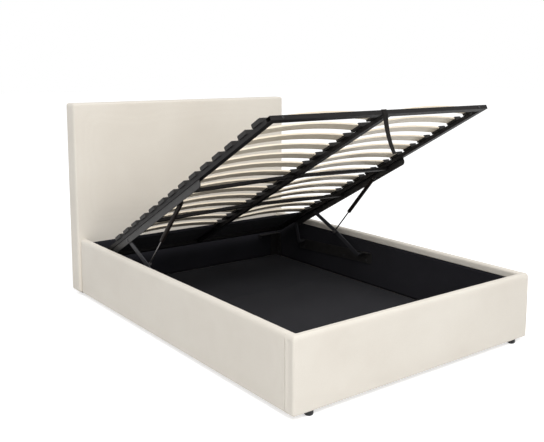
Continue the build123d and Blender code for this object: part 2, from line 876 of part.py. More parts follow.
def pull_strap():
    """Webbing looped round the foot tube, its tail hanging straight down and curling out."""
    low_x = -strap_offset - strap_width / 2
    high_x = -strap_offset + strap_width / 2
    room = cloth_gap + strap_thickness
    loop = block(low_x, high_x, platform_foot - room, platform_foot + tube_width + room,
                 -tube_height - room, room)
    loop = fillet(loop.edges().filter_by(Axis.X), room)
    loop -= block(low_x - cut_overrun, high_x + cut_overrun, platform_foot - cloth_gap,
                  platform_foot + tube_width + cloth_gap, -tube_height - cloth_gap, cloth_gap)
    start_y, start_z = raised(platform_length + cloth_gap + strap_thickness / 2, tube_height)
    points = [(start_y, start_z)]
    for share in strap_shares:
        points.append((start_y - strap_stand_out * share ** 2, start_z - strap_fall * share))
    half = strap_thickness / 2
    outer = Spline(*[(low_x, y - half, z) for y, z in points])
    inner = Spline(*[(low_x, y + half, z) for y, z in reversed(points)])
    ends = [Line(outer @ 1, inner @ 0), Line(inner @ 1, outer @ 0)]
    tail = extrude(Face(Wire([outer, ends[0], inner, ends[1]])), strap_width, dir=(1, 0, 0))
    return platform_place * loop + tail


# Arms, right side, as they stand in the raised pose

front_top = raised(front_pivot_from_head, arm_pivot_depth)
rear_top = raised(rear_pivot_from_head, arm_pivot_depth)
strut_top = raised(strut_pivot_from_head, strut_pivot_depth)


def stud_point():
    """The strut's stud on the front arm, off the straight line between the arm's pivots."""
    run = math.dist(front_base, front_top)
    step_y = (front_top[0] - front_base[0]) / run
    step_z = (front_top[1] - front_base[1]) / run
    y = front_base[0] + run * stud_share * step_y - arm_bow * step_z
    z = front_base[1] + run * stud_share * step_z + arm_bow * step_y
    return y, z


strut_foot = stud_point()


def front_arm():
    """A slightly bowed flat arm with the strut's stud welded to its inner face."""
    arm = link(front_base, strut_foot, arm_width, arm_inner, arm_outer)
    arm += link(strut_foot, front_top, arm_width, arm_inner, arm_outer)
    for y, z in (front_base, front_top):
        arm -= round_bar(pin_radius + pin_fit, arm_inner, arm_outer, y, z)
    return arm + round_bar(stud_collar_radius, eye_outer + side_play, arm_inner, *strut_foot)


def rear_arm():
    """A short straight arm with the upper pivot's head on its inner face."""
    arm = link(rear_base, rear_top, arm_width, arm_inner, arm_outer)
    arm -= round_bar(pin_radius + pin_fit, arm_inner, arm_outer, *rear_base)
    return arm + round_bar(pin_head_radius, arm_inner - pin_head, arm_inner, *rear_top)


# Gas struts, right side, along their own axis from the upper eye

strut_run = math.dist(strut_top, strut_foot)
strut_place = Plane(origin=(strut_middle, *strut_top), x_dir=(1, 0, 0),
                    z_dir=(0, strut_foot[0] - strut_top[0], strut_foot[1] - strut_top[1])).location
strut_mouth = strut_neck + strut_body


def eye(along):
    return Pos(0, 0, along) * Rot(0, 90, 0) * Cylinder(eye_radius, eye_width)


def strut_cylinder():
    body = upright(strut_radius, 0, 0, strut_neck, strut_mouth)
    body = chamfer(body.faces().sort_by(Axis.Z)[-1].edges(), strut_radius - strut_bore)
    body += upright(strut_neck_radius, 0, 0, 0, strut_neck)
    body += eye(0)
    body -= Rot(0, 90, 0) * Cylinder(stud_radius + pin_fit, eye_width)
    body -= upright(strut_bore, 0, 0, strut_neck + strut_end_wall, strut_mouth - strut_end_wall)
    body -= upright(rod_radius + rod_fit, 0, 0, strut_mouth - strut_end_wall, strut_mouth)
    return strut_place * body


def strut_rod():
    """The rod with its piston and lower eye, and the eye's own bolt head."""
    inner_end = strut_mouth - rod_hidden
    rod = upright(rod_radius, 0, 0, inner_end, strut_run - eye_radius / 2)
    rod += upright(strut_bore - piston_fit, 0, 0, inner_end, inner_end + piston_length)
    rod += upright(strut_neck_radius, 0, 0, strut_run - strut_neck, strut_run - eye_radius / 2)
    rod += eye(strut_run)
    head_x = -eye_width / 2 - pin_head / 2
    rod += Pos(head_x, 0, strut_run) * Rot(0, 90, 0) * Cylinder(stud_head_radius, pin_head)
    return strut_place * rod


# Every piece of the bed under its own name

def on_platform(piece):
    return platform_place * piece


def pieces():
    floor_foot, floor_middle, floor_head = floor_panels()
    named = {
        "headboard_frame": headboard_frame(),
        "headboard_front_board": headboard_front_board(),
        "headboard_cover": headboard_cover(),
        "headboard_back_lining": headboard_back_lining(),
        "headboard_bolts": headboard_bolts(),
        "foot_panel_board": foot_panel_board(),
        "foot_corner_blocks": foot_corner_blocks(),
        "foot_panel_cover": foot_panel_cover(),
        "lining_foot": lining_foot(),
        "lining_head": lining_head(),
        "base_floor_foot": floor_foot,
        "base_floor_middle": floor_middle,
        "base_floor_head": floor_head,
        "floor_ledges": floor_ledges(),
        "floor_cross_rails": floor_cross_rails(),
        "corner_glides": corner_glides(),
        "centre_glides": centre_glides(),
        "foot_corner_brackets": foot_corner_brackets(),
        "head_corner_brackets": head_corner_brackets(),
        "bracket_bolts": bracket_bolts(),
        "rest_brackets": rest_brackets(),
        "rest_pads": rest_pads(),
        "lower_plate_bolts": lower_plate_bolts(),
        "lower_pivot_pins": lower_pivot_pins(),
        "platform_rail_centre": on_platform(platform_centre_rail()),
        "platform_foot_rail": on_platform(platform_foot_rail()),
        "platform_head_rail": on_platform(platform_head_rail()),
        "platform_end_board": on_platform(platform_end_board()),
        "platform_cross_bars": on_platform(cross_bars()),
        "platform_corner_angles": on_platform(frame_angles()),
        "platform_frame_bolts": on_platform(frame_bolts()),
        "slat_caps_centre": on_platform(row(middle_cap())),
        "upper_pivot_pins": on_platform(upper_pivot_pins()),
        "pull_strap": pull_strap(),
    }
    mirrored = {
        "side_rail_board": side_rail_board(),
        "side_rail_cover": side_rail_cover(),
        "lining": lining_side(),
        "lower_plate": lower_plate(),
        "platform_rail": on_platform(platform_side_rail()),
        "slats": on_platform(row(bowed_bar(slat_width, 0))),
        "slat_caps": on_platform(row(side_cap())),
        "upper_plate": on_platform(upper_plate()),
        "front_arm": front_arm(),
        "rear_arm": rear_arm(),
        "strut_cylinder": strut_cylinder(),
        "strut_rod": strut_rod(),
    }
    for name, piece in mirrored.items():
        named[name + "_right"] = piece
        named[name + "_left"] = other_side(piece)
    return named


os.makedirs("parts", exist_ok=True)
for node, shape in pieces().items():
    export_step(shape, "parts/" + node + ".step")
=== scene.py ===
import json
import math

import bmesh
import bpy
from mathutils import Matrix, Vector, noise


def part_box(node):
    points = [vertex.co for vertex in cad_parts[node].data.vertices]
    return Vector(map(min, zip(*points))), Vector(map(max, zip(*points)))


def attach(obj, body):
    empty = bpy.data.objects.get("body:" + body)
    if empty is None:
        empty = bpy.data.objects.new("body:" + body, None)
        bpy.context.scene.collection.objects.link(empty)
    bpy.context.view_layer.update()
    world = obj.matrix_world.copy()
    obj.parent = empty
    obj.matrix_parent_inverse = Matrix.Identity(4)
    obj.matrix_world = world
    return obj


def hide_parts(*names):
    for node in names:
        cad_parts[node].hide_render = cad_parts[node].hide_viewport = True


# An upholstered ottoman bed, its slatted platform raised over a black-lined box. Metres, in the
# CAD model's frame: X across the bed, +Y towards the headboard, +Z up from the floor.

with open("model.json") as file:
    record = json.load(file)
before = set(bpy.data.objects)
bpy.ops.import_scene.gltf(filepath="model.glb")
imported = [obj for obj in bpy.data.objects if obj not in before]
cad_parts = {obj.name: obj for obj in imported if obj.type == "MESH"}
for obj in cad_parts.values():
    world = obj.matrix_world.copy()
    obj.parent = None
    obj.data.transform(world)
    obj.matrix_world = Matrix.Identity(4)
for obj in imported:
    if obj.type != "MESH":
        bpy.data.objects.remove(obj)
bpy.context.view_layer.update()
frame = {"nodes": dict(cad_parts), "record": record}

MM = 0.001
MERGE_DISTANCE = 1e-5           # points of a mesh that are closer become one
SAME_PLACE = 1e-6               # more than the rounding of a vector's coordinates
TINY = 1e-9                     # a length that counts as nothing

# Camera, fitted to the corners of the box, headboard and platform in the photograph
PHOTO_WIDTH_PX = 544
SENSOR_WIDTH = 36.0             # in millimetres, as Blender counts it
FOCAL_PX = 762.1
CAMERA_PLACE = (-2.379, -3.114, 1.321)
CAMERA_YAW = -36.82             # degrees about Z, from a view along +Y
CAMERA_PITCH = 7.71             # degrees down from level
CAMERA_SHIFT_Y = -0.10

# Upholstery, fitted over the CAD model's boards
SKIN = 2.0 * MM                 # fabric and the top of its foam
CLEAR = 0.3 * MM                # from a skin to what it covers
TOP_ROLL_IN = 11.0 * MM         # the rails' soft top edge, across
TOP_ROLL_DOWN = 22.0 * MM       # and down the outer face
FLAP_ROLL = 11.0 * MM           # where the cover turns down inside the box
LEAST_FLAT = 1.0 * MM           # left on top between those two rolls
LOW_ROUND = 3.0 * MM            # under the rails
UNDER_INSET = 2.0 * MM          # least, from the cover's lower end to its inner face
CORNER_ROUND = 9.0 * MM         # the foot panel's two corners, from above
RAIL_CROWN = 1.2 * MM           # padding's swell in the middle of a rail's face
DIP = 0.7 * MM                  # broad unevenness of a rail's face
UPRIGHT_PULL = 0.35 * MM        # and its narrow upright one
TOP_DIP = 0.35 * MM             # unevenness of the rails' top
FOOT_TOP_DIP = 0.25 * MM        # and of the foot panel's
CROWN_BAND = 0.11               # from a face's edge to the full height of its crown
DIP_BAND = 0.05                 # and to the full depth of its dips
DIP_OVER_TOP = 0.02             # the dips fade out this far above the rails' top
FRONT_PADDING = 40.0 * MM       # how far the front's padding reaches along the foot panel's sides
SIDE_SHIFT = 1.0                # keeps the sides' unevenness unlike the front's

# The seams between the foot panel's cover and the rails' covers
SEAM_ROUND = 4.0 * MM           # the foot panel's cover, rolled in at the seam
RAIL_SEAM_ROUND = 2.4 * MM      # the rail's cover there
SEAM_RIDGE = 2.5 * MM           # over the seam allowance, on the foot panel's side
SEAM_HOLLOW = 1.7 * MM          # beside that ridge
RAIL_RIDGE = 0.5 * MM           # over the seam allowance, on the rail's side
SEAM_PULL = 1.8 * MM            # how far the rail's face is drawn in towards the seam
SEAM_PULL_LENGTH = 90.0 * MM
SEAM_PULL_BAND = 0.09           # fades towards the face's top and bottom
RELIEF_BAND = 0.03
SEAM_DIP = 1.6 * MM             # how far the top dips at the seam
SEAM_DIP_LENGTH = 5.0 * MM
HEAD_TUCK = 3.8 * MM            # how far the rail's face is tucked in against the headboard
HEAD_TUCK_LENGTH = 10.0 * MM

# Headboard
HEADBOARD_ROUND = 12.0 * MM
HEADBOARD_BACK_ROUND = 5.0 * MM
HEADBOARD_CROWN = 4.0 * MM
HEADBOARD_CROWN_BAND = 0.16
HEADBOARD_DIP = 0.9 * MM        # broad unevenness of the front
HEADBOARD_PULL = 0.35 * MM      # and its narrow level one
HEADBOARD_DIP_BAND = 0.05
DIPS_FROM = 0.35                # the front's dips start here, just above the rails
PADDED_FROM = 0.36              # the crown and the sides' swell start here
SIDES_FULL_FROM = 0.42          # and the sides have their full swell here
UPPER_HALF = 0.5                # tells the top from the bottom
EDGE_BAND = 0.045               # from the front or back to a side's full swell
EDGE_DIP = 0.5 * MM
TOP_SWELL = 1.2 * MM
SIDE_SWELL = 1.0 * MM
STRAIGHT_SHARE = 0.99           # a point this share of the rounding out is on a flat side

# Linings and back cloth
LINING_CLOTH = 0.9 * MM
LINING_SINK = 0.6 * MM          # from the CAD lining's face back to the cloth's middle
LINING_SLACK = 0.5 * MM
BACK_SLACK = 0.6 * MM
STAPLE_PITCH = 0.08             # of the back cloth
PUCKER = 0.5 * MM               # between its staples
PUCKER_REACH = 22.0 * MM        # in from the edge

# Pull strap and the tube that it goes round
LIFT_ANGLE = math.radians(28.5)  # the raised platform's slope
TUBE_WIDTH = 30.0 * MM
TUBE_HEIGHT = 20.0 * MM
STRAP_THICKNESS = 2.0 * MM
STRAP_SLACK = 0.4 * MM          # beyond the clearance to the tube
STRAP_STEP = 6.0 * MM           # between the loop's points
STRAP_CORNER_STEPS = 4
TAIL_INSET = 2.0 * MM           # the tail starts this far inside the tube's lower face
TAIL_STEPS = 24
TAIL_SWAY = 3.0 * MM
TAIL_TWIST = 0.25               # radians, from the loop to the end

# How finely the covers are divided
UNDER_STEPS = 5
LOW_STEPS = 6
FACE_STEPS = 26
TOP_STEPS = 12
FLAP_ROUND_STEPS = 8
FLAP_STEPS = 6
CORNER_STEPS = 8
SIDE_STEPS = 2                  # from the seam's stations to the foot panel's inner face
CORNER_ENTRY_STEPS = 3          # from there to the corner, and again from the corner to the front
FOOT_HALF_STEPS = 32
RAIL_STEP = 22.0 * MM
RAIL_EVEN_FROM = 24.0 * MM      # from the seam
RAIL_EVEN_TO = 8.0 * MM         # from the headboard
HEADBOARD_STEP = 16.0 * MM
HEADBOARD_DEPTH_STEP = 12.0 * MM
CLOTH_STEP = 18.0 * MM
CLOTH_RISE_STEP = 14.0 * MM
SOFT_TURNS = (0, 11, 22, 34, 45)                                    # degrees, round a soft edge
SEAM_STATIONS_MM = (0, 0.5, 1, 1.8, 2.6, 4, 5.5, 7, 9, 12, 16)      # from the seam
HEAD_STATIONS_MM = (5, 2.5, 1, 0)                                   # from the headboard


# Materials

def new_material(name):
    material = bpy.data.materials.new(name)
    material.use_nodes = True
    return material, material.node_tree.nodes, material.node_tree.links


def shader(nodes):
    return next(node for node in nodes if node.type == "BSDF_PRINCIPLED")


def coordinates(nodes, links, scale=(1, 1, 1)):
    """Object coordinates, scaled, for a texture."""
    source = nodes.new("ShaderNodeTexCoord")
    mapping = nodes.new("ShaderNodeMapping")
    mapping.inputs["Scale"].default_value = scale
    links.new(source.outputs["Object"], mapping.inputs["Vector"])
    return mapping.outputs["Vector"]


def noise_texture(nodes, links, vector, scale, detail=3.0, roughness=0.5):
    texture = nodes.new("ShaderNodeTexNoise")
    texture.inputs["Scale"].default_value = scale
    texture.inputs["Detail"].default_value = detail
    texture.inputs["Roughness"].default_value = roughness
    links.new(vector, texture.inputs["Vector"])
    return texture.outputs["Fac"]


def two_tone(nodes, links, factor, dark, light, low=0.35, high=0.65):
    ramp = nodes.new("ShaderNodeValToRGB")
    ramp.color_ramp.elements[0].position = low
    ramp.color_ramp.elements[0].color = (*dark, 1)
    ramp.color_ramp.elements[1].position = high
    ramp.color_ramp.elements[1].color = (*light, 1)
    links.new(factor, ramp.inputs["Fac"])
    return ramp.outputs["Color"]


def math_node(nodes, links, operation, a, b):
    node = nodes.new("ShaderNodeMath")
    node.operation = operation
    for socket, value in zip(node.inputs, (a, b)):
        if isinstance(value, (int, float)):
            socket.default_value = value
        else:
            links.new(value, socket)
    return node.outputs[0]


def mixed(nodes, links, parts):
    """The sum of some textures, each taken in its share."""
    total = None
    for texture, share in parts:
        part = math_node(nodes, links, "MULTIPLY", texture, share)
        total = part if total is None else math_node(nodes, links, "ADD", total, part)
    return total


def bump(nodes, links, height, distance, strength):
    node = nodes.new("ShaderNodeBump")
    node.inputs["Distance"].default_value = distance
    node.inputs["Strength"].default_value = strength
    links.new(height, node.inputs["Height"])
    links.new(node.outputs["Normal"], shader(nodes).inputs["Normal"])


def uneven_roughness(nodes, links, vector, roughness, scale, spread):
    """Roughness that differs a little from place to place."""
    patches = noise_texture(nodes, links, vector, scale)
    patches = math_node(nodes, links, "MULTIPLY", patches, spread)
    links.new(math_node(nodes, links, "ADD", patches, roughness), shader(nodes).inputs["Roughness"])


def thread_waves(nodes, links, vector, direction, scale):
    wave = nodes.new("ShaderNodeTexWave")
    wave.wave_type = "BANDS"
    wave.bands_direction = direction
    wave.inputs["Scale"].default_value = scale
    wave.inputs["Distortion"].default_value = 1.2
    wave.inputs["Detail"].default_value = 1.0
    links.new(vector, wave.inputs["Vector"])
    return wave.outputs["Fac"]


def woven_cloth(name, dark, light, threads, bump_mm, roughness, sheen, gloss_level=0.25):
    """Woven cloth: crossing threads in all three directions, so that every face shows two sets."""
    material, nodes, links = new_material(name)
    base = shader(nodes)
    vector = coordinates(nodes, links)
    waves = [thread_waves(nodes, links, vector, axis, threads) for axis in "XYZ"]
    weave = math_node(nodes, links, "ADD", waves[0], waves[1])
    weave = math_node(nodes, links, "ADD", weave, waves[2])
    weave = math_node(nodes, links, "MULTIPLY", weave, 1 / len(waves))
    broad = noise_texture(nodes, links, vector, scale=3.0, detail=4.0)
    fine = noise_texture(nodes, links, vector, scale=260.0, detail=2.0)
    tone = mixed(nodes, links, [(broad, 0.6), (fine, 0.25), (weave, 0.15)])
    color = two_tone(nodes, links, tone, dark, light, low=0.3, high=0.7)
    links.new(color, base.inputs["Base Color"])
    base.inputs["Roughness"].default_value = roughness
    base.inputs["Sheen Weight"].default_value = sheen
    base.inputs["Sheen Roughness"].default_value = 0.5
    base.inputs["Specular IOR Level"].default_value = gloss_level
    fuzz = math_node(nodes, links, "MULTIPLY", fine, 0.7)
    height = math_node(nodes, links, "ADD", weave, fuzz)
    bump(nodes, links, height, distance=bump_mm * MM, strength=0.6)
    return material


def coated_metal(name, color, roughness, worn, gloss_level=0.35):
    """Powder coat: a fine orange-peel surface, a little uneven in tone and gloss."""
    material, nodes, links = new_material(name)
    base = shader(nodes)
    vector = coordinates(nodes, links)
    broad = noise_texture(nodes, links, vector, scale=9.0, detail=5.0)
    light = tuple(min(1.0, channel * worn) for channel in color)
    tone = two_tone(nodes, links, broad, color, light, low=0.35, high=0.75)
    links.new(tone, base.inputs["Base Color"])
    uneven_roughness(nodes, links, vector, roughness, scale=40.0, spread=0.16)
    base.inputs["Specular IOR Level"].default_value = gloss_level
    peel = noise_texture(nodes, links, vector, scale=900.0, detail=1.0)
    bump(nodes, links, peel, distance=0.06 * MM, strength=0.4)
    return material


def bare_metal(name, color, roughness):
    material, nodes, links = new_material(name)
    base = shader(nodes)
    base.inputs["Metallic"].default_value = 1.0
    vector = coordinates(nodes, links)
    dull = tuple(channel * 0.8 for channel in color)
    patches = noise_texture(nodes, links, vector, scale=60.0)
    links.new(two_tone(nodes, links, patches, dull, color), base.inputs["Base Color"])
    uneven_roughness(nodes, links, vector, roughness, scale=220.0, spread=0.15)
    return material


def moulded_plastic(name, color, roughness):
    material, nodes, links = new_material(name)
    base = shader(nodes)
    vector = coordinates(nodes, links)
    light = tuple(channel * 1.5 for channel in color)
    patches = noise_texture(nodes, links, vector, scale=30.0)
    links.new(two_tone(nodes, links, patches, color, light), base.inputs["Base Color"])
    base.inputs["Roughness"].default_value = roughness
    base.inputs["Specular IOR Level"].default_value = 0.3
    grain = noise_texture(nodes, links, vector, scale=1500.0, detail=1.0)
    bump(nodes, links, grain, distance=0.08 * MM, strength=0.5)
    return material


def plywood(name, dark, light):
    """Timber with its grain along X, in pieces that differ a little in tone."""
    material, nodes, links = new_material(name)
    base = shader(nodes)
    grain_place = coordinates(nodes, links, (1.0, 22.0, 22.0))
    whole_place = coordinates(nodes, links, (0.6, 9.0, 9.0))
    grain = noise_texture(nodes, links, grain_place, scale=9.0, detail=6.0, roughness=0.6)
    pores = noise_texture(nodes, links, grain_place, scale=60.0, detail=2.0)
    board = noise_texture(nodes, links, whole_place, scale=1.0, detail=1.0)
    tone = mixed(nodes, links, [(grain, 0.5), (board, 0.35), (pores, 0.15)])
    color = two_tone(nodes, links, tone, dark, light, low=0.3, high=0.7)
    links.new(color, base.inputs["Base Color"])
    base.inputs["Roughness"].default_value = 0.42
    base.inputs["Coat Weight"].default_value = 0.15
    bump(nodes, links, grain, distance=0.15 * MM, strength=0.4)
    return material


def raw_board(name, dark, light):
    """Board pressed from chips of wood."""
    material, nodes, links = new_material(name)
    base = shader(nodes)
    vector = coordinates(nodes, links)
    chips = nodes.new("ShaderNodeTexVoronoi")
    chips.inputs["Scale"].default_value = 220.0
    links.new(vector, chips.inputs["Vector"])
    color = two_tone(nodes, links, chips.outputs["Distance"], dark, light, low=0.1, high=0.6)
    links.new(color, base.inputs["Base Color"])
    base.inputs["Roughness"].default_value = 0.8
    bump(nodes, links, chips.outputs["Distance"], distance=0.3 * MM, strength=0.4)
    return material


CREAM = woven_cloth("cream_fabric", (0.715, 0.665, 0.59), (0.785, 0.742, 0.668),
                    threads=260.0, bump_mm=0.25, roughness=0.75, sheen=0.2)
BLACK_LINING = woven_cloth("black_lining", (0.0135, 0.013, 0.0165), (0.0235, 0.023, 0.0282),
                           threads=160.0, bump_mm=0.2, roughness=0.9, sheen=0.03, gloss_level=0.1)
BLACK_FLOOR = woven_cloth("black_floor", (0.0215, 0.0212, 0.0245), (0.0305, 0.0302, 0.0345),
                          threads=160.0, bump_mm=0.2, roughness=0.85, sheen=0.02, gloss_level=0.1)
BLACK_BACK = woven_cloth("back_cloth", (0.012, 0.012, 0.013), (0.022, 0.022, 0.024),
                         threads=200.0, bump_mm=0.25, roughness=0.8, sheen=0.1)
WEBBING = woven_cloth("strap_webbing", (0.007, 0.0058, 0.0054), (0.014, 0.012, 0.0115),
                      threads=420.0, bump_mm=0.5, roughness=0.8, sheen=0.03, gloss_level=0.1)
FRAME_STEEL = coated_metal("frame_steel", (0.0095, 0.0085, 0.0085),
                           roughness=0.42, worn=1.6, gloss_level=0.16)
MECHANISM_STEEL = coated_metal("mechanism_steel", (0.017, 0.016, 0.0155), roughness=0.42, worn=1.6)
ARM_STEEL = coated_metal("arm_steel", (0.03, 0.03, 0.034), roughness=0.4, worn=1.5, gloss_level=0.22)
FIXING_STEEL = coated_metal("fixing_steel", (0.02, 0.02, 0.021), roughness=0.4, worn=2.2)
STRUT_BLACK = coated_metal("strut_black", (0.011, 0.0078, 0.0068),
                           roughness=0.36, worn=1.3, gloss_level=0.1)
ROD_CHROME = bare_metal("rod_chrome", (0.2, 0.19, 0.19), roughness=0.22)
CAP_PLASTIC = moulded_plastic("cap_plastic", (0.011, 0.0098, 0.0092), roughness=0.55)
GLIDE_PLASTIC = moulded_plastic("glide_plastic", (0.01, 0.01, 0.011), roughness=0.4)
PAD_RUBBER = moulded_plastic("pad_rubber", (0.014, 0.014, 0.014), roughness=0.7)
BIRCH = plywood("slat_birch", (0.70, 0.59, 0.44), (0.90, 0.82, 0.68))
CHIPBOARD = raw_board("chipboard", (0.42, 0.29, 0.16), (0.62, 0.47, 0.30))
PINE = plywood("pine", (0.52, 0.36, 0.19), (0.70, 0.52, 0.32))

SLOT_MATERIALS = {
    "cover_fabric": CREAM, "back_cloth": BLACK_BACK, "lining_cloth": BLACK_LINING,
    "floor_board": BLACK_FLOOR, "end_board_cover": BLACK_LINING, "chipboard": CHIPBOARD,
    "pine": PINE, "slat_birch": BIRCH, "frame_steel": FRAME_STEEL,
    "mechanism_steel": MECHANISM_STEEL, "arm_steel": ARM_STEEL, "fixing_steel": FIXING_STEEL,
    "strut_black": STRUT_BLACK, "rod_chrome": ROD_CHROME, "cap_plastic": CAP_PLASTIC,
    "glide_plastic": GLIDE_PLASTIC, "pad_rubber": PAD_RUBBER, "strap_webbing": WEBBING,
}

for entry in frame["record"]["subparts"]:
    node = frame["nodes"][entry["node"]]
    node.data.materials.clear()
    node.data.materials.append(SLOT_MATERIALS[entry["material_slot"]])


# Mesh helpers

def add_piece(name, points, faces, body, material):
    """A smooth mesh piece that rides on a CAD body and takes the material that it is given."""
    mesh = bpy.data.meshes.new(name)
    mesh.from_pydata([tuple(point) for point in points], [], faces)
    mesh.validate()
    bm = bmesh.new()
    bm.from_mesh(mesh)
    bmesh.ops.remove_doubles(bm, verts=bm.verts, dist=MERGE_DISTANCE)
    bmesh.ops.recalc_face_normals(bm, faces=bm.faces)
    bm.to_mesh(mesh)
    bm.free()
    mesh.polygons.foreach_set("use_smooth", [True] * len(mesh.polygons))
    piece = bpy.data.objects.new(name, mesh)
    bpy.context.scene.collection.objects.link(piece)
    mesh.materials.append(material)
    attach(piece, body)
    return piece


def grid_faces(rows, columns, offset=0):
    """Quads between neighbouring rows of points."""
    return [(offset + row * columns + column, offset + row * columns + column + 1,
             offset + (row + 1) * columns + column + 1, offset + (row + 1) * columns + column)
            for row in range(rows - 1) for column in range(columns - 1)]


def thicken(piece, thickness, offset=-1.0):
    """Gives a skin its thickness: inwards from its face, or half to each side where offset is 0."""
    solid = piece.modifiers.new("thickness", "SOLIDIFY")
    solid.thickness = thickness
    solid.offset = offset
    solid.use_even_offset = False


def steps(low, high, step, low_round=0.0, high_round=0.0):
    """Places along a side: closely spaced round its soft ends, evenly between them."""
    shares = [1 - math.tan(math.pi / 4 - math.radians(angle)) for angle in SOFT_TURNS]
    places = [low + low_round * share for share in shares] if low_round else [low]
    inner_high = high - high_round
    inner_low = low + low_round
    count = max(2, round((inner_high - inner_low) / step))
    places += [inner_low + (inner_high - inner_low) * index / count for index in range(1, count)]
    ends = [high - high_round * share for share in reversed(shares)]
    places += ends if high_round else [high]
    return places


def quarter_turn(count):
    """The angles of a quarter turn, in a number of equal steps."""
    return [math.pi / 2 * index / count for index in range(count + 1)]


def smooth_step(value, low, high):
    share = min(1.0, max(0.0, (value - low) / (high - low)))
    return share * share * (3 - 2 * share)


def swell(value, low, high, band):
    """Nothing at both edges, rising to 1 within a band, as padding does under stretched cloth."""
    return smooth_step(value, low, low + band) * (1 - smooth_step(value, high - band, high))


def bell(distance, middle, width):
    return math.exp(-((distance - middle) / width) ** 2)


def unevenness(across, up, seed, scale, size):
    """A small, smooth lift or dip that differs from place to place."""
    return size * noise.noise(Vector((across, up, seed)) * scale)


# Upholstered covers

foot_low, foot_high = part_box("foot_panel_cover")
rail_low, rail_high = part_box("side_rail_cover_right")
rail_inner = rail_low.x
board_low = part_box("side_rail_board_right")[0]
foot_board_low, foot_board_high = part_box("foot_panel_board")
flap_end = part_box("lining_right")[1].z + CLEAR


def section(width, under, flap):
    """A cover's section as (in from the outer face, height) pairs: from under the board, up the outer
    face, over the soft top and down the flap inside."""
    low, top = foot_low.z, foot_high.z
    points = [(under, low)]
    for index in range(1, UNDER_STEPS):
        points.append((under + (LOW_ROUND - under) * index / UNDER_STEPS, low))
    for angle in quarter_turn(LOW_STEPS):
        points.append((LOW_ROUND - LOW_ROUND * math.sin(angle),
                       low + LOW_ROUND - LOW_ROUND * math.cos(angle)))
    rise = top - TOP_ROLL_DOWN - low - LOW_ROUND
    for index in range(1, FACE_STEPS):
        points.append((0, low + LOW_ROUND + rise * index / FACE_STEPS))
    for angle in quarter_turn(TOP_STEPS):
        points.append((TOP_ROLL_IN - TOP_ROLL_IN * math.cos(angle),
                       top - TOP_ROLL_DOWN + TOP_ROLL_DOWN * math.sin(angle)))
    inner_round = min(FLAP_ROLL, width - TOP_ROLL_IN - LEAST_FLAT)
    for angle in quarter_turn(FLAP_ROUND_STEPS):
        points.append((width - inner_round + inner_round * math.sin(angle),
                       top - inner_round + inner_round * math.cos(angle)))
    for index in range(1, FLAP_STEPS + 1):
        points.append((width, top - inner_round - (top - inner_round - flap) * index / FLAP_STEPS))
    return points


def up_the_face(height, band):
    """Nothing at a rail's top and bottom, 1 between them."""
    return swell(height, foot_low.z, foot_high.z, band)


def padding(height, along):
    """How far a rail's face stands out at a height and a place along it."""
    crown = RAIL_CROWN * up_the_face(height, CROWN_BAND)
    dips = unevenness(along, height * 1.6, seed=7.0, scale=6.0, size=DIP)
    pulls = unevenness(along * 14.0, height * 1.2, seed=3.0, scale=1.6, size=UPRIGHT_PULL)
    return crown + (dips + pulls) * swell(height, foot_low.z, foot_high.z + DIP_OVER_TOP, DIP_BAND)


def seam_relief(distance, height, foot_side):
    """The fabric's step beside a seam: rolled in at the seam. On the foot panel's side a ridge over the
    seam allowance and a hollow follow, and on the rail's side a small ridge on a long slope that rises
    from the seam."""
    radius = SEAM_ROUND if foot_side else RAIL_SEAM_ROUND
    roll = radius * (1 - math.sqrt(max(0.0, 1 - (1 - min(1.0, distance / radius)) ** 2)))
    if foot_side:
        ridge = SEAM_RIDGE * bell(distance, middle=9 * MM, width=5 * MM)
        shape = ridge - SEAM_HOLLOW * bell(distance, middle=30 * MM, width=9 * MM)
    else:
        pull = SEAM_PULL * (1 - smooth_step(distance, 0.0, SEAM_PULL_LENGTH))
        pull *= up_the_face(height, SEAM_PULL_BAND)
        shape = RAIL_RIDGE * bell(distance, middle=7 * MM, width=3 * MM) - pull
    return (shape - roll) * up_the_face(height, RELIEF_BAND)


def seam_dip(distance):
    """How far the top dips where a cover turns in at the seam."""
    return SEAM_DIP * (1 - smooth_step(distance, 0.0, SEAM_DIP_LENGTH))


def rail_cover(side):
    """One side rail's cover, wrapped over the board from underneath to the flap inside."""
    name = "left" if side < 0 else "right"
    profile = section(rail_high.x - rail_inner, rail_high.x - board_low.x - CLEAR, flap_end)
    low, high = rail_low.y, rail_high.y
    stations = [low + step * MM for step in SEAM_STATIONS_MM]
    stations += steps(low + RAIL_EVEN_FROM, high - RAIL_EVEN_TO, RAIL_STEP)
    stations += [high - step * MM for step in HEAD_STATIONS_MM]
    points = []
    for y in stations:
        for inward, z in profile:
            x = rail_high.x - inward
            height = z
            if inward == 0:
                x += padding(z, y) + seam_relief(y - low, z, False)
                x -= HEAD_TUCK * (1 - smooth_step(high - y, 0.0, HEAD_TUCK_LENGTH))
            elif z > foot_high.z - TOP_ROLL_DOWN:
                dip = unevenness(y * 9.0, x * 3, seed=1.0, scale=1.8, size=TOP_DIP)
                height += dip - seam_dip(y - low)
            points.append((side * x, y, height))
    faces = grid_faces(len(stations), len(profile))
    piece = add_piece("rail_cover_" + name, points, faces, "bed_base", CREAM)
    thicken(piece, SKIN)
    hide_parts("side_rail_cover_" + name)


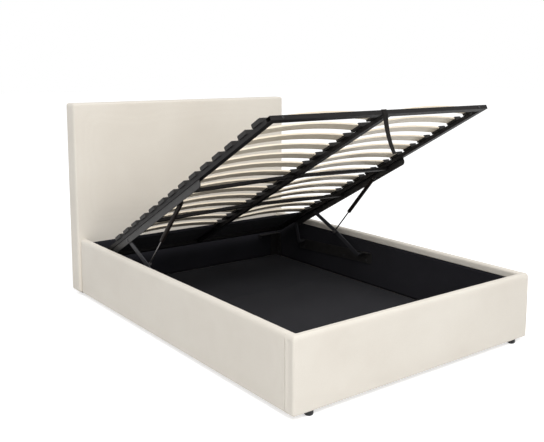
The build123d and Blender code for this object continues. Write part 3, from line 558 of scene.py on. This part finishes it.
def foot_path(inner_y):
    """The foot panel's plan from its right seam to its left one: for each station the outer place,
    the inner place and the way that the outer face looks."""
    outer_x, front, end = foot_high.x, foot_low.y, foot_high.y
    inner_x = rail_inner
    last_station = SEAM_STATIONS_MM[-1] * MM
    path = []
    for back in SEAM_STATIONS_MM:
        path.append(((outer_x, end - back * MM), (inner_x, end - back * MM), (1, 0)))
    for index in range(1, SIDE_STEPS + 1):
        y = end - last_station + (inner_y - end + last_station) * index / SIDE_STEPS
        path.append(((outer_x, y), (inner_x, max(y, inner_y)), (1, 0)))
    for index in range(1, CORNER_ENTRY_STEPS + 1):
        y = inner_y + (front + CORNER_ROUND - inner_y) * index / CORNER_ENTRY_STEPS
        path.append(((outer_x, y), (inner_x, inner_y), (1, 0)))
    for angle in quarter_turn(CORNER_STEPS)[1:]:
        place = (outer_x - CORNER_ROUND + CORNER_ROUND * math.cos(angle),
                 front + CORNER_ROUND - CORNER_ROUND * math.sin(angle))
        path.append((place, (inner_x, inner_y), (math.cos(angle), -math.sin(angle))))
    for index in range(1, CORNER_ENTRY_STEPS + 1):
        x = outer_x - CORNER_ROUND + (inner_x - outer_x + CORNER_ROUND) * index / CORNER_ENTRY_STEPS
        path.append(((x, front), (inner_x, inner_y), (0, -1)))
    for index in range(1, FOOT_HALF_STEPS + 1):
        x = inner_x * (1 - index / FOOT_HALF_STEPS)
        path.append(((x, front), (x, inner_y), (0, -1)))
    path += [((-outer[0], outer[1]), (-inner[0], inner[1]), (-normal[0], normal[1]))
             for outer, inner, normal in reversed(path[:-1])]
    return path


def foot_cover():
    """The foot panel's cover, wrapped round both corners to the side seams."""
    outer_x, front, end = foot_high.x, foot_low.y, foot_high.y
    path = foot_path(foot_board_high.y + CLEAR + (foot_board_low.y - CLEAR - front))
    under = foot_board_high.y - front + CLEAR
    points = []
    for outer, inner, normal in path:
        outer, inner, normal = Vector(outer), Vector(inner), Vector(normal)
        across = inner - outer
        width = across.length
        across.normalize()
        along = outer.x if normal.y else (SIDE_SHIFT + outer.y)
        on_side = abs(outer.x) > outer_x - SAME_PLACE
        near_front = smooth_step(front + FRONT_PADDING, outer.y, outer.y + FRONT_PADDING)
        for inward, z in section(width, min(under, width - UNDER_INSET), flap_end):
            place = outer + across * inward
            height = z
            if inward == 0:
                relief = seam_relief(end - outer.y, z, True) if on_side else 0.0
                place = place + normal * (padding(z, along) * near_front + relief)
            elif z > foot_high.z - TOP_ROLL_DOWN:
                height += unevenness(along * 9.0, inward * 3, seed=5.0, scale=1.8, size=FOOT_TOP_DIP)
                height -= seam_dip(end - outer.y) if on_side else 0.0
            points.append((place.x, place.y, height))
    faces = grid_faces(len(path), len(points) // len(path))
    piece = add_piece("foot_cover", points, faces, "bed_base", CREAM)
    thicken(piece, SKIN)
    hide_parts("foot_panel_cover")


def headboard_cover():
    """The headboard's wrap: front, sides, top and bottom, with the padding's swell above the rails."""
    low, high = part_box("headboard_cover")
    radius, back_round = HEADBOARD_ROUND, HEADBOARD_BACK_ROUND
    xs = steps(low.x, high.x, HEADBOARD_STEP, radius, radius)
    zs = steps(low.z, high.z, HEADBOARD_STEP, radius, radius)
    ys = steps(low.y, high.y, HEADBOARD_DEPTH_STEP, radius, back_round)
    points, faces = [], []

    def front_swell(x, z):
        """How far the front stands out of its plane."""
        band = HEADBOARD_CROWN_BAND
        crown = HEADBOARD_CROWN * swell(x, low.x, high.x, band) * swell(z, PADDED_FROM, high.z, band)
        dips = unevenness(x, z, seed=2.0, scale=4.5, size=HEADBOARD_DIP)
        dips += unevenness(x * 1.4, z * 5.0, seed=9.0, scale=3.0, size=HEADBOARD_PULL)
        band = HEADBOARD_DIP_BAND
        dips = dips * swell(x, low.x, high.x, band) * swell(z, DIPS_FROM, high.z, band)
        return max(0.0, crown + dips)

    def place(x, y, z):
        """A point of the box, rounded at the edges and swollen by the padding."""
        core = Vector((min(max(x, low.x + radius), high.x - radius),
                       min(max(y, low.y + radius), high.y - back_round),
                       min(max(z, low.z + radius), high.z - radius)))
        away = Vector((x, y, z)) - core
        if y > high.y - back_round:
            side = Vector((away.x, 0, away.z))
            turned = (y - high.y + back_round) / back_round
            shrink = back_round * (1 - math.sqrt(max(0.0, 1 - turned ** 2)))
            side = side.normalized() * (radius - shrink) if side.length > TINY else side
            return Vector((core.x + side.x, y, core.z + side.z))
        if away.length > TINY:
            away = away.normalized() * radius
        point = core + away
        if y <= low.y + TINY:
            point.y -= front_swell(x, z)
            return point
        edge_swell = swell(y, low.y, high.y, EDGE_BAND)
        if abs(away.z) > radius * STRAIGHT_SHARE and z > UPPER_HALF:
            dip = unevenness(x * 4, y * 2, seed=4.0, scale=2.2, size=EDGE_DIP)
            point.z += (TOP_SWELL + dip) * edge_swell
        if abs(away.x) > radius * STRAIGHT_SHARE and z > PADDED_FROM:
            dip = unevenness(y * 2, z * 4, seed=6.0, scale=2.2, size=EDGE_DIP)
            out = (SIDE_SWELL + dip) * edge_swell * smooth_step(z, PADDED_FROM, SIDES_FULL_FROM)
            point.x += math.copysign(out, away.x)
        return point

    def patch(rows, columns, at):
        offset = len(points)
        points.extend(place(*at(row, column)) for row in rows for column in columns)
        faces.extend(grid_faces(len(rows), len(columns), offset))

    patch(zs, xs, lambda z, x: (x, low.y, z))
    for edge in (low.x, high.x):
        patch(zs, ys, lambda z, y: (edge, y, z))
    for edge in (low.z, high.z):
        patch(ys, xs, lambda y, x: (x, y, edge))
    piece = add_piece("headboard_wrap", points, faces, "bed_base", CREAM)
    thicken(piece, SKIN)
    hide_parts("headboard_cover")


# Linings and back cloth

def wall_cloth(name, node, axis, side, slack, pitch=None):
    """Cloth stretched flat against a wall, with a little slack between its fixings. axis is the
    direction that it faces, side the way that it faces along it, pitch the distance between staples
    that pucker its edges."""
    low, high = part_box(node)
    run = 1 - axis
    face = (high if side > 0 else low)[axis] - side * LINING_SINK
    places = steps(low[run], high[run], CLOTH_STEP)
    heights = steps(low.z, high.z, CLOTH_RISE_STEP)
    points = []
    for z in heights:
        for place in places:
            free = swell(place, low[run], high[run], band=0.06) * swell(z, low.z, high.z, band=0.035)
            give = unevenness(place * 2.2, z * 5.0, seed=3.0 + side, scale=2.4, size=slack) * free
            if pitch:
                from_end = min(place - low[run], high[run] - place)
                from_edge = min(z - low.z, high.z - z)
                along = place if from_edge < from_end else z
                wave = 0.5 - 0.5 * math.cos(2 * math.pi * along / pitch)
                give += PUCKER * (math.exp(-min(from_end, from_edge) / PUCKER_REACH) * wave)
            point = [0.0, 0.0, z]
            point[run] = place
            point[axis] = face + side * give
            points.append(point)
    piece = add_piece(name, points, grid_faces(len(heights), len(places)), "bed_base",
                      BLACK_BACK if pitch else BLACK_LINING)
    thicken(piece, LINING_CLOTH, offset=0.0)
    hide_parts(node)


# Pull strap

down_slope = Vector((0, -math.cos(LIFT_ANGLE), math.sin(LIFT_ANGLE)))   # from head end to foot end
off_slats = Vector((0, math.sin(LIFT_ANGLE), math.cos(LIFT_ANGLE)))     # square to the slats


def webbing(name, centres, sides, width):
    """A flat strip of webbing with rounded selvedges that follows a line of centres."""
    half, edge = width / 2, STRAP_THICKNESS / 2
    places = (-half + edge, -half * 0.6, -half * 0.2, half * 0.2, half * 0.6, half - edge)
    outline = [(across, edge) for across in places] + [(half, 0)]
    outline += [(across, -edge) for across in reversed(places)] + [(-half, 0)]
    count = len(outline)
    last = len(centres) - 1
    points = []
    for index, (centre, side) in enumerate(zip(centres, sides)):
        before = centres[max(0, index - 1)]
        after = centres[min(last, index + 1)]
        out = (after - before).cross(side).normalized()
        points += [centre + side * across + out * up for across, up in outline]
    faces = [(row * count + column, row * count + (column + 1) % count,
              (row + 1) * count + (column + 1) % count, (row + 1) * count + column)
             for row in range(last) for column in range(count)]
    faces += [tuple(range(count)), tuple(last * count + column for column in range(count))]
    return add_piece(name, points, faces, "platform", WEBBING)


def loop_line(centre, room):
    """The strap's line round the foot tube, at a distance from it, with round corners."""
    ring = []
    for a, b in ((1, 1), (1, -1), (-1, -1), (-1, 1)):
        corner = centre + down_slope * a * TUBE_WIDTH / 2 + off_slats * b * TUBE_HEIGHT / 2
        start = math.atan2(b, a)
        for turn in range(STRAP_CORNER_STEPS + 1):
            angle = start + math.pi / 4 - turn * math.pi / 2 / STRAP_CORNER_STEPS
            away = down_slope * math.cos(angle) + off_slats * math.sin(angle)
            ring.append(corner + away * (room + STRAP_SLACK))
    ring.append(ring[0])
    line = []
    for one, two in zip(ring, ring[1:]):
        count = max(1, round((two - one).length / STRAP_STEP))
        line += [one.lerp(two, index / count) for index in range(count)]
    line.append(ring[0])
    return line


def pull_strap():
    """Webbing stitched round the foot tube; its end hangs and curls out."""
    low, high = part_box("platform_foot_rail")
    strap_low, strap_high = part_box("pull_strap")
    middle_x = (strap_low.x + strap_high.x) / 2
    width = strap_high.x - strap_low.x
    centre = Vector((middle_x, (low.y + high.y) / 2, (low.z + high.z) / 2))
    room = STRAP_THICKNESS / 2 + CLEAR
    closed = loop_line(centre, room)
    loop = webbing("strap_loop", closed, [Vector((1, 0, 0))] * len(closed), width)
    start = centre + down_slope * (TUBE_WIDTH / 2 + room + STRAP_THICKNESS)
    start -= off_slats * (TUBE_HEIGHT / 2 - TAIL_INSET)
    fall, stand_out = start.z - strap_low.z, start.y - strap_low.y
    tail_points, sides = [], []
    for index in range(TAIL_STEPS + 1):
        share = index / TAIL_STEPS
        sway = TAIL_SWAY * math.sin(share * 5.0)
        tail_points.append(Vector((middle_x + sway * share, start.y - stand_out * share ** 2,
                                   start.z - fall * share)))
        twist = TAIL_TWIST * index / TAIL_STEPS
        sides.append(Vector((math.cos(twist), math.sin(twist), 0)))
    tail = webbing("strap_tail", tail_points, sides, width)
    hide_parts("pull_strap")


for rail_side in (-1, 1):
    rail_cover(rail_side)
foot_cover()
headboard_cover()
for wall, facing, way, board in (("left", 0, 1, "side_rail_board_left"),
                                 ("right", 0, -1, "side_rail_board_right"),
                                 ("foot", 1, 1, "foot_panel_board"),
                                 ("head", 1, -1, "headboard_front_board")):
    wall_cloth("lining_cloth_" + wall, "lining_" + wall, facing, way, LINING_SLACK)
wall_cloth("headboard_back_cloth", "headboard_back_lining", 1, 1, BACK_SLACK,
           STAPLE_PITCH)
pull_strap()


# Light, floor and camera

def add_light(name, place, target, size, energy):
    data = bpy.data.lights.new(name, "AREA")
    data.shape = "SQUARE"
    data.size = size
    data.energy = energy
    lamp = bpy.data.objects.new(name, data)
    bpy.context.scene.collection.objects.link(lamp)
    lamp.location = place
    aim = Vector(target) - Vector(place)
    lamp.rotation_euler = aim.to_track_quat("-Z", "Y").to_euler()


def seen_by(nodes, links, kinds):
    """1 for a ray of these kinds, 0 for the light that falls on the bed."""
    rays = nodes.new("ShaderNodeLightPath")
    seen = rays.outputs[kinds[0]]
    for kind in kinds[1:]:
        seen = math_node(nodes, links, "MAXIMUM", seen, rays.outputs[kind])
    return seen


def set_world(strength, lean):
    """White to the camera. The light that it gives is stronger from the bed's right by the lean."""
    world = bpy.data.worlds.new("studio")
    bpy.context.scene.world = world
    world.use_nodes = True
    nodes, links = world.node_tree.nodes, world.node_tree.links
    nodes.clear()
    seen = seen_by(nodes, links, ("Is Camera Ray", "Is Glossy Ray", "Is Transmission Ray"))
    soft = nodes.new("ShaderNodeBackground")
    soft.inputs["Color"].default_value = (1, 1, 1, 1)
    direction = nodes.new("ShaderNodeTexCoord")
    split = nodes.new("ShaderNodeSeparateXYZ")
    links.new(direction.outputs["Generated"], split.inputs[0])
    level = math_node(nodes, links, "MULTIPLY", split.outputs["X"], lean)
    links.new(math_node(nodes, links, "ADD", level, strength), soft.inputs["Strength"])
    white = nodes.new("ShaderNodeBackground")
    white.inputs["Color"].default_value = (1, 1, 1, 1)
    white.inputs["Strength"].default_value = 1.0
    mix = nodes.new("ShaderNodeMixShader")
    output = nodes.new("ShaderNodeOutputWorld")
    links.new(seen, mix.inputs["Fac"])
    links.new(soft.outputs[0], mix.inputs[1])
    links.new(white.outputs[0], mix.inputs[2])
    links.new(mix.outputs[0], output.inputs["Surface"])


def add_floor(size, grey, glow):
    """A pale floor that shows white to the camera but keeps the bed's shadow."""
    mesh = bpy.data.meshes.new("floor")
    half = size / 2
    corners = [(-half, -half, 0), (half, -half, 0), (half, half, 0), (-half, half, 0)]
    mesh.from_pydata(corners, [], [(0, 1, 2, 3)])
    floor = bpy.data.objects.new("floor", mesh)
    bpy.context.scene.collection.objects.link(floor)
    material, nodes, links = new_material("floor")
    base = shader(nodes)
    base.inputs["Base Color"].default_value = (grey, grey, grey, 1)
    base.inputs["Roughness"].default_value = 0.9
    base.inputs["Specular IOR Level"].default_value = 0.1
    base.inputs["Emission Color"].default_value = (1, 1, 1, 1)
    seen = seen_by(nodes, links, ("Is Camera Ray", "Is Glossy Ray"))
    links.new(math_node(nodes, links, "MULTIPLY", seen, glow), base.inputs["Emission Strength"])
    mesh.materials.append(material)


def add_camera():
    data = bpy.data.cameras.new("camera")
    data.sensor_width = SENSOR_WIDTH
    data.sensor_fit = "HORIZONTAL"
    data.lens = FOCAL_PX * SENSOR_WIDTH / PHOTO_WIDTH_PX
    data.shift_y = CAMERA_SHIFT_Y
    data.clip_end = 100
    camera = bpy.data.objects.new("camera", data)
    bpy.context.scene.collection.objects.link(camera)
    camera.location = CAMERA_PLACE
    camera.rotation_euler = (math.radians(90 - CAMERA_PITCH), 0, math.radians(CAMERA_YAW))
    bpy.context.scene.camera = camera


set_world(strength=0.66, lean=0.19)
add_floor(size=60.0, grey=0.70, glow=0.62)
add_light("key", place=(-2.1, -4.0, 5.1), target=(0, 0.95, 0.7), size=2.6, energy=256)
add_light("fill", place=(-3.6, 3.2, 2.4), target=(-0.7, 1.1, 0.2), size=2.2, energy=16)
add_camera()
bpy.context.scene.view_settings.view_transform = "Standard"
